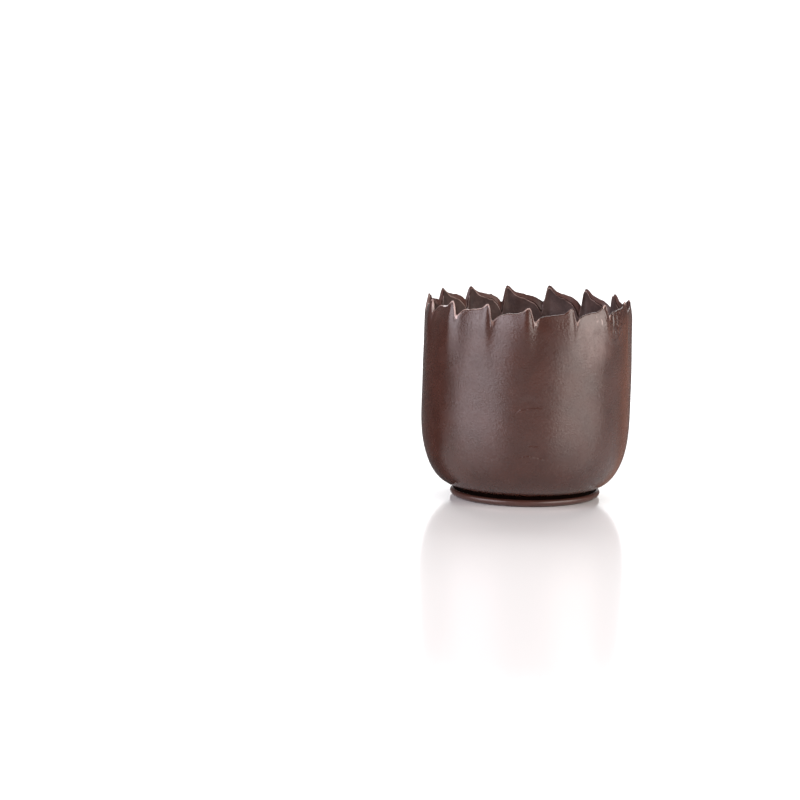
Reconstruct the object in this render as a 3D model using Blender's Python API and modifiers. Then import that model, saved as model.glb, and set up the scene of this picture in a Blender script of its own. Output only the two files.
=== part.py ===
"""A dark chocolate shell cup for filling, as dipped on a pleated former and set down on a puddle of chocolate.

One solid: a round-bottomed shell, thin at its rim, with ratchet-shaped pleats that run out down the wall, and the
flat foot disc that the puddle has set into. Metres, +Z up, origin at the middle of the foot's underside, front at -Y.
"""

import math

import bpy
import numpy as np

# Whole cup
CUP_DIAMETER = 0.02706
TIP_HEIGHT = 0.0260

# Shell: a rounded bottom corner, a straight wall and a slight curl inwards at the tips
SHOULDER_HEIGHT = 0.0117
SHELL_BOTTOM = 0.00134
BOTTOM_FLAT_RADIUS = 0.0082
CORNER_POWER = 2.47  # 2 is an ellipse, more is squarer
WALL_TAPER = 0.00003
CURL_START = 0.0229
TIP_CURL = 0.00051
WALL_AT_BOTTOM = 0.00070
WALL_AT_RIM = 0.00060
FLOOR_HEIGHT = 0.0025

# Foot disc, and the groove between it and the shell
FOOT_RADIUS = 0.00970
FOOT_OFFSET = 0.0002  # towards +X, where the shell was set down a little off the puddle's middle
FOOT_OVAL = 0.026  # how much longer than its mean the puddle is one way, and shorter the other
FOOT_LONG_WAY_DEG = 45
FOOT_THICKNESS = 0.00093
FOOT_WIDEST = 0.00060  # the height where the rounded edge stands out most
FOOT_TOP_RADIUS = 0.00928
FOOT_UNDERSIDE_RADIUS = 0.00890
FOOT_DIP_RADIUS, FOOT_DIP_HEIGHT = 0.00886, 0.00087  # where the top starts to fall towards the neck
FOOT_EDGE_STEPS = 2
NECK_RADIUS = 0.00720
NECK_TOP = 0.00118
NECK_BOTTOM = 0.00050  # the foot's top dips towards the neck

# Pleats: each rises over a long panel to its crest and falls down a short riser to the next valley
PLEATS = 15
FIRST_CREST_DEG = -89.8
CREST = 0.83  # the crest's place along a pleat, from valley to valley
FOLD_DEPTH = 0.00045
OUTER_BLUR, OUTER_BLUR_PER_METRE = 0.050, 20.0  # rounding, in pleat widths
OUTER_FADE, INNER_FADE = 0.0070, 0.0120  # how far down the wall the folds run out
INNER_BLUR, INNER_BLUR_PER_METRE = 0.012, 5.0
HARMONICS = 16
RIDGE = 0.00011  # extra thickness in a round ridge down the outside of each crest
RIDGE_WIDTH = 0.12
RIDGE_FADE = 0.0055
TIP_THINNING = 0.00036  # thickness that the wall loses inside each tip, where it comes to a point
TIP_THINNING_WIDTH = 0.15
TIP_THINNING_FADE = 0.0026

# Rim: the height of the edge along one pleat, and the lip that slopes from it down to the inside
VALLEY_DROP, VALLEY_DROP_SWING = 0.00185, 0.00036  # the mean, and how much more it is at the back
TIP_POINT = 0.00066
TIP_POINT_WIDTH = 0.135
PANEL_SLOPE, PANEL_SLOPE_SWING = 0.00051, 0.00032
VALLEY_RISE = 0.12
RISER_ROUND = 1.6  # more keeps the edge level for longer beside the tip
RISER_END = 0.85  # the share of the riser where the edge has come down to the valley
LIP_DROP = 0.00042
LIP_DROP_AT_TIP = 0.00025
LIP_TIP_WIDTH = 0.16
LIP_VALLEY_DROP = 0.0012
LIP_VALLEY_WIDTH = 0.20
# Unevenness from pleat to pleat, counted from the front crest towards +X
TIP_EXTRA = [0.0001 * n for n in (1, 0, 2, 2, -2, -2, -1, 0, -2, -1, 1, -1, -2, 2, 3)]
VALLEY_EXTRA = [0.0001 * n for n in (-2, -1, -1, 4, 0, 0, -2, -2, 0, -2, 2, 4, 0, -1, 0)]
CREST_SHIFT = [0.01 * n for n in (-1, 2, 0, -2, -1, 2, 1, -2, 2, 0, 2, 0, 2, -3, 0)]

# Facets
PANEL_PLACES = [0.0, 0.07, 0.20, 0.50, 0.82, 0.94]  # shares of the panel, closest near its two ends
RISER_PLACES = [0.0, 0.28, 0.62]
CORNER_ROWS = 7
INNER_CORNER_ROWS = 5
OUTER_WALL_ROWS = [0.0, 0.17, 0.34, 0.50, 0.64, 0.76, 0.86, 0.94, 1.0]
INNER_WALL_ROWS = [0.0, 0.30, 0.55, 0.75, 0.90, 1.0]
PLEAT_PLACES = [CREST * s for s in PANEL_PLACES] + [CREST + (1 - CREST) * s for s in RISER_PLACES]
COLUMNS = PLEATS * len(PLEAT_PLACES)
SHARP_EDGE_DEG = 35

CHOCOLATE_COLOUR = (0.075, 0.036, 0.028, 1.0)
CHOCOLATE_ROUGHNESS = 0.42


def wall_radius(z):
    """The shell's outer radius at the crests, at a height at or above the shoulder."""
    taper = WALL_TAPER * ((z - SHOULDER_HEIGHT) / SHOULDER_HEIGHT) ** 2
    curl = TIP_CURL * max(0.0, (z - CURL_START) / (TIP_HEIGHT - CURL_START)) ** 2
    return CUP_DIAMETER / 2 - taper - curl


def wall_thickness(z):
    """The wall's thickness, which goes down evenly from the shoulder to the rim."""
    share = min(1.0, max(0.0, (z - SHOULDER_HEIGHT) / (TIP_HEIGHT - SHOULDER_HEIGHT)))
    return WALL_AT_BOTTOM + (WALL_AT_RIM - WALL_AT_BOTTOM) * share


def corner_point(turn):
    """A point of the outer bottom corner, from the shoulder at turn 0 to the flat bottom at turn 1."""
    angle = turn * math.pi / 2
    across = CUP_DIAMETER / 2 - BOTTOM_FLAT_RADIUS
    down = SHOULDER_HEIGHT - SHELL_BOTTOM
    x = BOTTOM_FLAT_RADIUS + across * math.cos(angle) ** (2 / CORNER_POWER)
    z = SHOULDER_HEIGHT - down * math.sin(angle) ** (2 / CORNER_POWER)
    return np.array([x, z])


def inner_corner_point(turn):
    """The point one wall thickness inside that corner, measured square to it."""
    step = 0.01
    along = corner_point(min(1.0, turn + step)) - corner_point(max(0.0, turn - step))
    inwards = np.array([along[1], -along[0]]) / np.linalg.norm(along)
    return corner_point(turn) + WALL_AT_BOTTOM * inwards


def floor_edge_turn():
    """Where along the corner the inner surface meets the floor."""
    low, high = 0.0, 1.0
    for _ in range(40):
        middle = (low + high) / 2
        if inner_corner_point(middle)[1] > FLOOR_HEIGHT:
            low = middle
        else:
            high = middle
    return low


def blank_profile():
    """The plain cup's section: the floor's middle, up the inside, over the rim, down the outside, under the foot."""
    wall_height = TIP_HEIGHT - SHOULDER_HEIGHT
    points = [(0.0, FLOOR_HEIGHT)]
    floor_turn = floor_edge_turn()
    for row in range(INNER_CORNER_ROWS, 0, -1):
        points.append(tuple(inner_corner_point(floor_turn * row / INNER_CORNER_ROWS)))
    for share in INNER_WALL_ROWS:
        z = SHOULDER_HEIGHT + wall_height * share
        points.append((wall_radius(z) - wall_thickness(z), z))
    for share in reversed(OUTER_WALL_ROWS):
        z = SHOULDER_HEIGHT + wall_height * share
        points.append((wall_radius(z), z))
    for row in range(1, CORNER_ROWS + 1):
        points.append(tuple(corner_point(row / CORNER_ROWS)))
    points += [(NECK_RADIUS, NECK_TOP), (NECK_RADIUS, NECK_BOTTOM)]
    points += foot_profile()
    points.append((0.0, 0.0))
    return points


def foot_profile():
    """The foot disc's top and its round edge, undercut a little at the bottom."""
    above = FOOT_RADIUS - FOOT_TOP_RADIUS
    below = FOOT_RADIUS - FOOT_UNDERSIDE_RADIUS
    turns = [math.pi / 2 * step / FOOT_EDGE_STEPS for step in range(FOOT_EDGE_STEPS + 1)]
    points = [(FOOT_DIP_RADIUS, FOOT_DIP_HEIGHT)]
    for turn in reversed(turns):
        height = FOOT_WIDEST + (FOOT_THICKNESS - FOOT_WIDEST) * math.sin(turn)
        points.append((FOOT_TOP_RADIUS + above * math.cos(turn), height))
    for turn in turns[1:]:
        points.append((FOOT_UNDERSIDE_RADIUS + below * math.cos(turn), FOOT_WIDEST * (1 - math.sin(turn))))
    return points


def ratchet(phase, blur):
    """A ratchet wave, 0 at the crest and 1 at the valleys, rounded by a blur that is a share of the pleat's width.

    It is the wave's Fourier series, with each harmonic damped as a Gaussian blur damps it."""
    total = 0.5
    for n in range(1, HARMONICS + 1):
        damping = math.exp(-2 * (math.pi * n * blur) ** 2)
        swing = math.cos(2 * math.pi * n * phase) - math.cos(2 * math.pi * n * (phase - CREST))
        total += damping * swing / (2 * math.pi**2 * n**2 * CREST * (1 - CREST))
    return total


def fold(phase, depth, inside):
    """How far the wall folds inwards at a depth below the tips."""
    blur_at_rim, blur_growth = (
        (INNER_BLUR, INNER_BLUR_PER_METRE) if inside else (OUTER_BLUR, OUTER_BLUR_PER_METRE)
    )
    blur = blur_at_rim + blur_growth * depth
    fade = math.exp(-((depth / (INNER_FADE if inside else OUTER_FADE)) ** 2))
    folded = FOLD_DEPTH * fade * (ratchet(phase, blur) - ratchet(CREST, blur))
    from_crest = min(abs(phase - CREST), 1 - abs(phase - CREST))
    ridge = RIDGE * math.exp(-((depth / RIDGE_FADE) ** 2))
    if inside:
        thinning = TIP_THINNING * math.exp(-((depth / TIP_THINNING_FADE) ** 2))
        return folded + ridge - thinning * math.exp(-((from_crest / TIP_THINNING_WIDTH) ** 2))
    return folded + ridge * (1 - math.exp(-((from_crest / RIDGE_WIDTH) ** 2)))


def crest_angle(pleat):
    """Where a pleat's crest would stand around an even cup, from +X towards +Y."""
    return math.radians(FIRST_CREST_DEG + 360 / PLEATS * pleat)


def column_angle(pleat, phase):
    """Where a column stands around the cup, with its crest a little out of step with the others."""
    nearness = (phase / CREST) ** 2 if phase <= CREST else (1 - phase) / (1 - CREST)
    return crest_angle(pleat + phase - CREST + CREST_SHIFT[pleat] * nearness)


def valley_height(pleat):
    """The height of the valley before a pleat, from TIP_HEIGHT."""
    return VALLEY_EXTRA[pleat] - VALLEY_DROP - VALLEY_DROP_SWING * math.sin(crest_angle(pleat))


def rim_drop(pleat, phase):
    """How far the rim's outer edge lies below TIP_HEIGHT."""
    tip = TIP_EXTRA[pleat]
    valley = valley_height(pleat)
    if phase <= CREST:
        slope = PANEL_SLOPE + PANEL_SLOPE_SWING * math.sin(crest_angle(pleat))
        shoulder = tip - TIP_POINT - slope
        height = valley + (shoulder - valley) * (1 - math.exp(-phase / VALLEY_RISE))
        height += slope * phase / CREST
        height += TIP_POINT * math.exp(-(((phase - CREST) / TIP_POINT_WIDTH) ** 2))
        return -height
    share = min(1.0, (phase - CREST) / (1 - CREST) / RISER_END) ** RISER_ROUND
    next_valley = valley_height((pleat + 1) % PLEATS)
    return -(tip + (next_valley - tip) * share * share * (3 - 2 * share))


def lip_drop(phase):
    """How far the rim's inner edge lies below its outer edge: least at the tips, most in the valleys."""
    if phase <= CREST:
        near_tip = math.exp(-(((phase - CREST) / LIP_TIP_WIDTH) ** 2))
        level = LIP_DROP + (LIP_DROP_AT_TIP - LIP_DROP) * near_tip
        return level + LIP_VALLEY_DROP * math.exp(-phase / LIP_VALLEY_WIDTH)
    share = (phase - CREST) / (1 - CREST)
    return LIP_DROP_AT_TIP + (LIP_DROP + LIP_VALLEY_DROP - LIP_DROP_AT_TIP) * share * share


def column_place(column):
    """The pleat that a column of facets is in, and its phase there."""
    pleat, place = divmod(column, len(PLEAT_PLACES))
    return pleat, PLEAT_PLACES[place]


def pressed(radius, z, column):
    """Where a point of the turned blank goes when the pleats are pressed in."""
    pleat, phase = column_place(column)
    angle = column_angle(pleat, phase)
    if z > SHOULDER_HEIGHT:
        share = (z - SHOULDER_HEIGHT) / (TIP_HEIGHT - SHOULDER_HEIGHT)
        inside = radius < wall_radius(z) - wall_thickness(z) / 2
        drop = rim_drop(pleat, phase) + (lip_drop(phase) if inside else 0.0)
        new_z = z - share * drop
        radius += wall_radius(new_z) - wall_radius(z)
        radius -= fold(phase, TIP_HEIGHT - new_z, inside)
        z = new_z
    return radius * math.cos(angle), radius * math.sin(angle), z


def turned_blank(profile):
    """The section as a mesh of edges, turned into a solid by a Screw modifier and made a mesh."""
    mesh = bpy.data.meshes.new("cup_section")
    edges = [(i, i + 1) for i in range(len(profile) - 1)]
    mesh.from_pydata([(radius, 0.0, z) for radius, z in profile], edges, [])
    section = bpy.data.objects.new("cup_section", mesh)
    bpy.context.scene.collection.objects.link(section)
    screw = section.modifiers.new("turned", "SCREW")
    screw.axis = "Z"
    screw.angle = 2 * math.pi
    screw.steps = screw.render_steps = COLUMNS
    screw.use_merge_vertices = True
    screw.merge_threshold = 1e-6
    bpy.context.view_layer.update()
    evaluated = section.evaluated_get(bpy.context.evaluated_depsgraph_get())
    blank = bpy.data.meshes.new_from_object(evaluated)
    bpy.data.objects.remove(section)
    return blank


def set_on_foot(x, y):
    """Where a point of the turned foot goes: the puddle is slightly oval and lies a little off the shell's axis."""
    turn = math.atan2(y, x) - math.radians(FOOT_LONG_WAY_DEG)
    stretch = 1 + FOOT_OVAL * math.cos(2 * turn)
    return x * stretch + FOOT_OFFSET, y * stretch


def press_pleats(blank):
    """Moves the blank's points: the wall into its pleats, and the foot into its place."""
    for vertex in blank.vertices:
        x, y, z = vertex.co
        if z < (NECK_TOP + FOOT_THICKNESS) / 2:
            vertex.co = (*set_on_foot(x, y), z)
        else:
            column = round(math.atan2(y, x) / (2 * math.pi) * COLUMNS) % COLUMNS
            vertex.co = pressed(math.hypot(x, y), z, column)


def chocolate():
    """Plain dark chocolate, with the satin of a dipped surface."""
    material = bpy.data.materials.new("dark_chocolate")
    material.use_nodes = True
    shader = material.node_tree.nodes["Principled BSDF"]
    shader.inputs["Base Color"].default_value = CHOCOLATE_COLOUR
    shader.inputs["Roughness"].default_value = CHOCOLATE_ROUGHNESS
    shader.inputs["Metallic"].default_value = 0.0
    return material


def main():
    for old in list(bpy.data.objects):
        bpy.data.objects.remove(old)
    parts = bpy.data.collections.new("chocolate_shell_cup")
    bpy.context.scene.collection.children.link(parts)
    shell = turned_blank(blank_profile())
    shell.name = "cup_shell"
    press_pleats(shell)
    shell.materials.append(chocolate())
    shell.shade_smooth()
    shell.set_sharp_from_angle(angle=math.radians(SHARP_EDGE_DEG))
    parts.objects.link(bpy.data.objects.new("cup_shell", shell))


main()
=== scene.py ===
# %% [markdown]
# # A dark chocolate shell cup
#
# The real cup is 27 mm across and 26 mm high. A pleated metal former is dipped upside down into melted
# dark chocolate, the thin shell is drawn off when it has set, and it is then stood on a small puddle of
# chocolate that sets into a flat foot. This notebook dresses the plain CAD model of it: fine geometry
# first, then the finishes, then the studio. The CAD model is loaded as a fixed frame, in metres, and is
# never changed.

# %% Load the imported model
import math

import bpy
import numpy as np
from mathutils import Matrix, Vector


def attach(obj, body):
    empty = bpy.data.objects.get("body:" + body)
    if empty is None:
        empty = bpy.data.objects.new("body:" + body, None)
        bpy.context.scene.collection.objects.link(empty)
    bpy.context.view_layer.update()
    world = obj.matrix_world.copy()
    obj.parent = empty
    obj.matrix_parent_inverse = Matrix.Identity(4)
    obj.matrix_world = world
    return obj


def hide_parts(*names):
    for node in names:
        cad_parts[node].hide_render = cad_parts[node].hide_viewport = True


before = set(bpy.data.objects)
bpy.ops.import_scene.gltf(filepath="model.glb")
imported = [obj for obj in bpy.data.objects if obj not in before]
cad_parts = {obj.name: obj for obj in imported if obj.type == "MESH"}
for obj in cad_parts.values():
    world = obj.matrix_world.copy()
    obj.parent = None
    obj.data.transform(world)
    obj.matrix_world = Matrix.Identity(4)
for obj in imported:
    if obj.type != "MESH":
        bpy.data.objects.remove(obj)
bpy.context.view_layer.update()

MM = 0.001

# %% [markdown]
# ## The camera
#
# A product photographer shoots something this small from half a metre away with a long lens, so that its
# sides stay nearly parallel. The lens could be guessed by eye. Here the camera was worked out from the
# places of the fifteen tips, the wall's two edges and the foot: it stands a little above the cup, looks
# past its left side, and is turned a degree and a half about its own line of sight.

# %% Camera
CAMERA_DISTANCE = 0.500
CAMERA_ABOVE = math.radians(9.94)
LOOK_LEFT = math.radians(1.898)
LOOK_DOWN = math.radians(8.58)
CAMERA_ROLL = math.radians(1.41)
PHOTO_PIXELS = 800
FOCAL_PIXELS = 3842
SENSOR = 36.0


def camera_matrix():
    """The camera's place, looking along +Y, down and a little to the left, and rolled about that line."""
    place = CAMERA_DISTANCE * Vector((0, -math.cos(CAMERA_ABOVE), math.sin(CAMERA_ABOVE)))
    level = math.cos(LOOK_DOWN)
    ahead = Vector((-math.sin(LOOK_LEFT) * level, math.cos(LOOK_LEFT) * level, -math.sin(LOOK_DOWN)))
    right = ahead.cross(Vector((0, 0, 1))).normalized()
    up = right.cross(ahead)
    right, up = (
        math.cos(CAMERA_ROLL) * right + math.sin(CAMERA_ROLL) * up,
        math.cos(CAMERA_ROLL) * up - math.sin(CAMERA_ROLL) * right,
    )
    return Matrix.Translation(place) @ Matrix((right, up, -ahead)).transposed().to_4x4()


camera = bpy.data.objects.new("camera", bpy.data.cameras.new("camera"))
camera.data.sensor_width = SENSOR
camera.data.lens = SENSOR * FOCAL_PIXELS / PHOTO_PIXELS
camera.data.clip_start, camera.data.clip_end = 0.01, 20.0
camera.matrix_world = camera_matrix()
bpy.context.scene.collection.objects.link(camera)
bpy.context.scene.camera = camera
print("lens, mm:", round(camera.data.lens, 1))

# %% [markdown]
# ## The cup's section
#
# Everything on this cup follows from one section: a flat bottom, a rounded corner, and a wall that curls
# in very slightly at the top. Such a shape can be drawn as a curve and spun with a Screw modifier. The
# pleats then need every point moved by a rule, so the section is written as plain functions of height,
# and the mesh is made from them as one grid of rows and columns.

# %% Section
CUP_RADIUS = 13.53 * MM
TIP_HEIGHT = 26.0 * MM
SHOULDER_HEIGHT = 11.7 * MM
SHELL_BOTTOM = 1.34 * MM
BOTTOM_FLAT_RADIUS = 8.2 * MM
CORNER_POWER = 2.47
WALL_TAPER = 0.03 * MM
CURL_START = 22.9 * MM
TIP_CURL = 0.51 * MM
WALL_AT_BOTTOM = 0.70 * MM
WALL_AT_RIM = 0.60 * MM
FLOOR_HEIGHT = 2.5 * MM
CORNER_STEP = 0.01
HALVINGS = 40


def wall_radius(z):
    """The outer radius at the crests, at or above the shoulder."""
    taper = WALL_TAPER * ((z - SHOULDER_HEIGHT) / SHOULDER_HEIGHT) ** 2
    curl = TIP_CURL * np.maximum(0.0, (z - CURL_START) / (TIP_HEIGHT - CURL_START)) ** 2
    return CUP_RADIUS - taper - curl


def wall_thickness(z):
    """The wall goes down evenly in thickness from the shoulder to the rim."""
    share = np.clip((z - SHOULDER_HEIGHT) / (TIP_HEIGHT - SHOULDER_HEIGHT), 0.0, 1.0)
    return WALL_AT_BOTTOM + (WALL_AT_RIM - WALL_AT_BOTTOM) * share


def corner(turn):
    """Radius and height along the outer bottom corner, from the shoulder at 0 to the flat bottom at 1."""
    angle = turn * math.pi / 2
    across = CUP_RADIUS - BOTTOM_FLAT_RADIUS
    down = SHOULDER_HEIGHT - SHELL_BOTTOM
    radius = BOTTOM_FLAT_RADIUS + across * math.cos(angle) ** (2 / CORNER_POWER)
    return radius, SHOULDER_HEIGHT - down * math.sin(angle) ** (2 / CORNER_POWER)


def inner_corner(turn):
    """The point one wall thickness inside the corner, measured square to it."""
    before, after = corner(max(0.0, turn - CORNER_STEP)), corner(min(1.0, turn + CORNER_STEP))
    run, drop = after[0] - before[0], after[1] - before[1]
    length = math.hypot(run, drop)
    radius, z = corner(turn)
    return radius + WALL_AT_BOTTOM * drop / length, z - WALL_AT_BOTTOM * run / length


def floor_turn():
    """How far along the corner its inner side meets the floor."""
    low, high = 0.0, 1.0
    for _ in range(HALVINGS):
        middle = (low + high) / 2
        if inner_corner(middle)[1] > FLOOR_HEIGHT:
            low = middle
        else:
            high = middle
    return low


FLOOR_RADIUS = inner_corner(floor_turn())[0]
print("floor radius, mm:", round(FLOOR_RADIUS / MM, 2))

# %% [markdown]
# ## The pleats
#
# The former has fifteen pleats shaped like the teeth of a ratchet: a long panel climbs outwards to a
# crest, and a short riser drops back to the next valley. Inside, the chocolate copies the former's sharp
# creases. Outside, the dipped layer has rounded them, and they run out down the wall. A ratchet wave is
# easy to blur evenly when it is written as a sum of cosines, because a blur only weakens each term, so
# one formula gives the sharp inside and the soft outside.

# %% Pleats
PLEATS = 15
FIRST_CREST = math.radians(-89.8)
CREST = 0.83
FOLD_DEPTH = 0.45 * MM
OUTER_BLUR, OUTER_BLUR_GROWTH = 0.050, 0.020 / MM
INNER_BLUR, INNER_BLUR_GROWTH = 0.012, 0.005 / MM
OUTER_FADE, INNER_FADE = 7.0 * MM, 12.0 * MM
HARMONICS = 16
RIDGE, RIDGE_WIDTH, RIDGE_FADE = 0.11 * MM, 0.12, 5.5 * MM
TIP_THINNING, TIP_THINNING_WIDTH, TIP_THINNING_FADE = 0.36 * MM, 0.15, 2.6 * MM


def ratchet(phase, blur):
    """0 at the crest and 1 at the valley, rounded by a blur that is a share of the pleat's width."""
    total = 0.5
    for n in range(1, HARMONICS + 1):
        damping = np.exp(-2 * (math.pi * n * blur) ** 2)
        swing = np.cos(2 * math.pi * n * phase) - np.cos(2 * math.pi * n * (phase - CREST))
        total = total + damping * swing / (2 * math.pi**2 * n**2 * CREST * (1 - CREST))
    return total


def fold(phase, depth, inside):
    """How far the wall folds inwards at a depth below the tips.

    Outside, a low round ridge runs down each crest. Inside, the wall thins towards each tip."""
    blur = INNER_BLUR + INNER_BLUR_GROWTH * depth if inside else OUTER_BLUR + OUTER_BLUR_GROWTH * depth
    fade = np.exp(-((depth / (INNER_FADE if inside else OUTER_FADE)) ** 2))
    folded = FOLD_DEPTH * fade * (ratchet(phase, blur) - ratchet(CREST, blur))
    from_crest = np.minimum(np.abs(phase - CREST), 1 - np.abs(phase - CREST))
    ridge = RIDGE * np.exp(-((depth / RIDGE_FADE) ** 2))
    if inside:
        thinning = TIP_THINNING * np.exp(-((depth / TIP_THINNING_FADE) ** 2))
        return folded + ridge - thinning * np.exp(-((from_crest / TIP_THINNING_WIDTH) ** 2))
    return folded + ridge * (1 - np.exp(-((from_crest / RIDGE_WIDTH) ** 2)))


print("fold at the rim, mm:", round(float(fold(0.0, 2 * MM, True)) / MM, 2))

# %% [markdown]
# ## The rim
#
# Where the shell was pulled from the former it ends in fifteen small points. Along each pleat the edge
# starts low in the valley, climbs fast, runs nearly level, ends in a pointed tip and falls again. It
# could be cut with a Boolean, but a height for each column of the grid costs nothing. No two teeth are
# quite alike, so each tip and each valley has its own small extra height, measured tooth by tooth.

# %% Rim
VALLEY_DROP, VALLEY_DROP_SWING = 1.85 * MM, 0.36 * MM
TIP_POINT = 0.66 * MM
TIP_POINT_WIDTH = 0.135
PANEL_SLOPE, PANEL_SLOPE_SWING = 0.51 * MM, 0.32 * MM
VALLEY_RISE = 0.12
RISER_ROUND, RISER_END = 1.6, 0.85
TIP_EXTRA = 0.1 * MM * np.array([1, 0, 2, 2, -2, -2, -1, 0, -2, -1, 1, -1, -2, 2, 3])
VALLEY_EXTRA = 0.1 * MM * np.array([-2, -1, -1, 4, 0, 0, -2, -2, 0, -2, 2, 4, 0, -1, 0])
CREST_SHIFT = 0.01 * np.array([-1, 2, 0, -2, -1, 2, 1, -2, 2, 0, 2, 0, 2, -3, 0])


def crest_angle(pleat):
    """Where a crest would stand round an even cup, counted from +X towards +Y."""
    return FIRST_CREST + 2 * math.pi / PLEATS * pleat


def column_angle(pleat, phase):
    """Where a column stands, with each crest a little out of step."""
    nearness = np.where(phase <= CREST, (phase / CREST) ** 2, (1 - phase) / (1 - CREST))
    return crest_angle(pleat + phase - CREST + CREST_SHIFT[pleat] * nearness)


def valley_height(pleat):
    """The height of the valley before a pleat, from that of a plain tip."""
    return VALLEY_EXTRA[pleat] - VALLEY_DROP - VALLEY_DROP_SWING * np.sin(crest_angle(pleat))


def rim_drop(pleat, phase):
    """How far the rim's outer edge lies below the height of a plain tip."""
    tip, valley = TIP_EXTRA[pleat], valley_height(pleat)
    slope = PANEL_SLOPE + PANEL_SLOPE_SWING * np.sin(crest_angle(pleat))
    shoulder = tip - TIP_POINT - slope
    panel = valley + (shoulder - valley) * (1 - np.exp(-phase / VALLEY_RISE))
    panel = panel + slope * phase / CREST + TIP_POINT * np.exp(-(((phase - CREST) / TIP_POINT_WIDTH) ** 2))
    share = np.clip((phase - CREST) / (1 - CREST) / RISER_END, 0.0, 1.0) ** RISER_ROUND
    riser = tip + (valley_height((pleat + 1) % PLEATS) - tip) * share * share * (3 - 2 * share)
    return -np.where(phase <= CREST, panel, riser)


print("tips differ by up to, mm:", round(float(np.ptp(TIP_EXTRA)) / MM, 1))

# %% [markdown]
# The broken edge is a sloping lip. Seen from inside it is a narrow band that is thinnest at the tips,
# widens along each panel and plunges into the valleys, so its depth is written as one more function of
# the place along a pleat.

# %% Lip
LIP_DROP = 0.42 * MM
LIP_DROP_AT_TIP = 0.25 * MM
LIP_TIP_WIDTH = 0.16
LIP_VALLEY_DROP = 1.2 * MM
LIP_VALLEY_WIDTH = 0.20


def lip_drop(phase):
    """How far the rim's inner edge lies below its outer edge."""
    level = LIP_DROP + (LIP_DROP_AT_TIP - LIP_DROP) * np.exp(-(((phase - CREST) / LIP_TIP_WIDTH) ** 2))
    panel = level + LIP_VALLEY_DROP * np.exp(-phase / LIP_VALLEY_WIDTH)
    share = np.clip((phase - CREST) / (1 - CREST), 0.0, 1.0)
    riser = LIP_DROP_AT_TIP + (LIP_DROP + LIP_VALLEY_DROP - LIP_DROP_AT_TIP) * share * share
    return np.where(phase <= CREST, panel, riser)


print("lip, mm: tip", round(float(lip_drop(CREST)) / MM, 2), "valley", round(float(lip_drop(0.0)) / MM, 2))

# %% [markdown]
# ## Small unevenness
#
# Poured and dipped chocolate is never quite true. Blender's noise textures could push the surface about,
# but a sum of a few slow waves with seeded directions is smooth, repeats exactly, and works on whole
# arrays at once.

# %% Waves
WAVE_COUNT = 14
WAVE_RATES = 0.7, 1.4


def waves(points, size, seed):
    """Smooth unevenness between about -1 and 1 at points, with bumps about as wide as size."""
    rng = np.random.default_rng(seed)
    total = np.zeros(points.shape[:-1])
    for _ in range(WAVE_COUNT):
        direction = rng.normal(size=3)
        direction *= rng.uniform(*WAVE_RATES) * math.pi / size / np.linalg.norm(direction)
        total += np.sin(points @ direction + rng.uniform(0, 2 * math.pi))
    return total / math.sqrt(WAVE_COUNT)


print("waves summed each time:", WAVE_COUNT)

# %% [markdown]
# ## The wall
#
# The wall is one closed skin: across the bottom, round the corner, up the outside, over the broken lip and
# down the inside to the floor. Its columns stand closer together near each crest and riser, where the form
# turns fastest, and its rows are closer together at the rim. Making the grid's points one by one rather
# than with a subdivided cage keeps every crease exactly where the former had it.

# %% Columns and rows
PANEL_COLUMNS, TIP_COLUMNS, RISER_COLUMNS = 13, 12, 15
TIP_STARTS = 0.64
PANEL_EASING = 1.4
panel_places = np.linspace(0.0, TIP_STARTS, PANEL_COLUMNS, endpoint=False)
pleat_places = np.concatenate([
    panel_places**PANEL_EASING / TIP_STARTS ** (PANEL_EASING - 1),
    np.linspace(TIP_STARTS, CREST, TIP_COLUMNS, endpoint=False),
    np.linspace(CREST, 1.0, RISER_COLUMNS, endpoint=False),
])
PLEAT_OF = np.repeat(np.arange(PLEATS), len(pleat_places))
PHASE_OF = np.tile(pleat_places, PLEATS)
ANGLE_OF = column_angle(PLEAT_OF, PHASE_OF)
print("columns:", len(ANGLE_OF))

# %% [markdown]
# A small burr stands on one tooth at the back, and the whole edge is finely ragged, because set chocolate
# breaks rather than cuts. At the left a glossy droplet has set on the edge between two tips. All are
# added column by column.

# %% The ragged edge
BURR_PLEAT, BURR_PHASE, BURR_WIDTH, BURR_HEIGHT = 9, 0.27, 0.018, 0.16 * MM
EDGE_RAGGED = 0.030 * MM
INNER_EDGE_RAGGED = 0.05 * MM
DROP_PLEAT, DROP_PHASE, DROP_WIDTH, DROP_SWELL = 13, 0.53, 0.14, 0.5
edge_points = np.stack([np.cos(ANGLE_OF), np.sin(ANGLE_OF), 0 * ANGLE_OF], -1) * CUP_RADIUS
burr = BURR_HEIGHT * np.exp(-(((PHASE_OF - BURR_PHASE) / BURR_WIDTH) ** 2)) * (PLEAT_OF == BURR_PLEAT)
raggedness = waves(edge_points, 0.5 * MM, 3) + 0.5 * waves(edge_points, 0.2 * MM, 4)
RIM_DROP = rim_drop(PLEAT_OF, PHASE_OF) - burr + EDGE_RAGGED * raggedness
INNER_RIM_DROP = RIM_DROP + lip_drop(PHASE_OF) + INNER_EDGE_RAGGED * waves(edge_points, 0.7 * MM, 5)
droplet = np.exp(-(((PHASE_OF - DROP_PHASE) / DROP_WIDTH) ** 2)) * (PLEAT_OF == DROP_PLEAT)
print("highest tip, mm:", round(float(TIP_HEIGHT - RIM_DROP.min()) / MM, 2))

# %% [markdown]
# The soft edge has sagged a little at the foot of each riser, so a small round bulge stands there and
# catches the light. It is added to the radius of the outer rows, and dies out a third of a millimetre
# below the edge.

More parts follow.
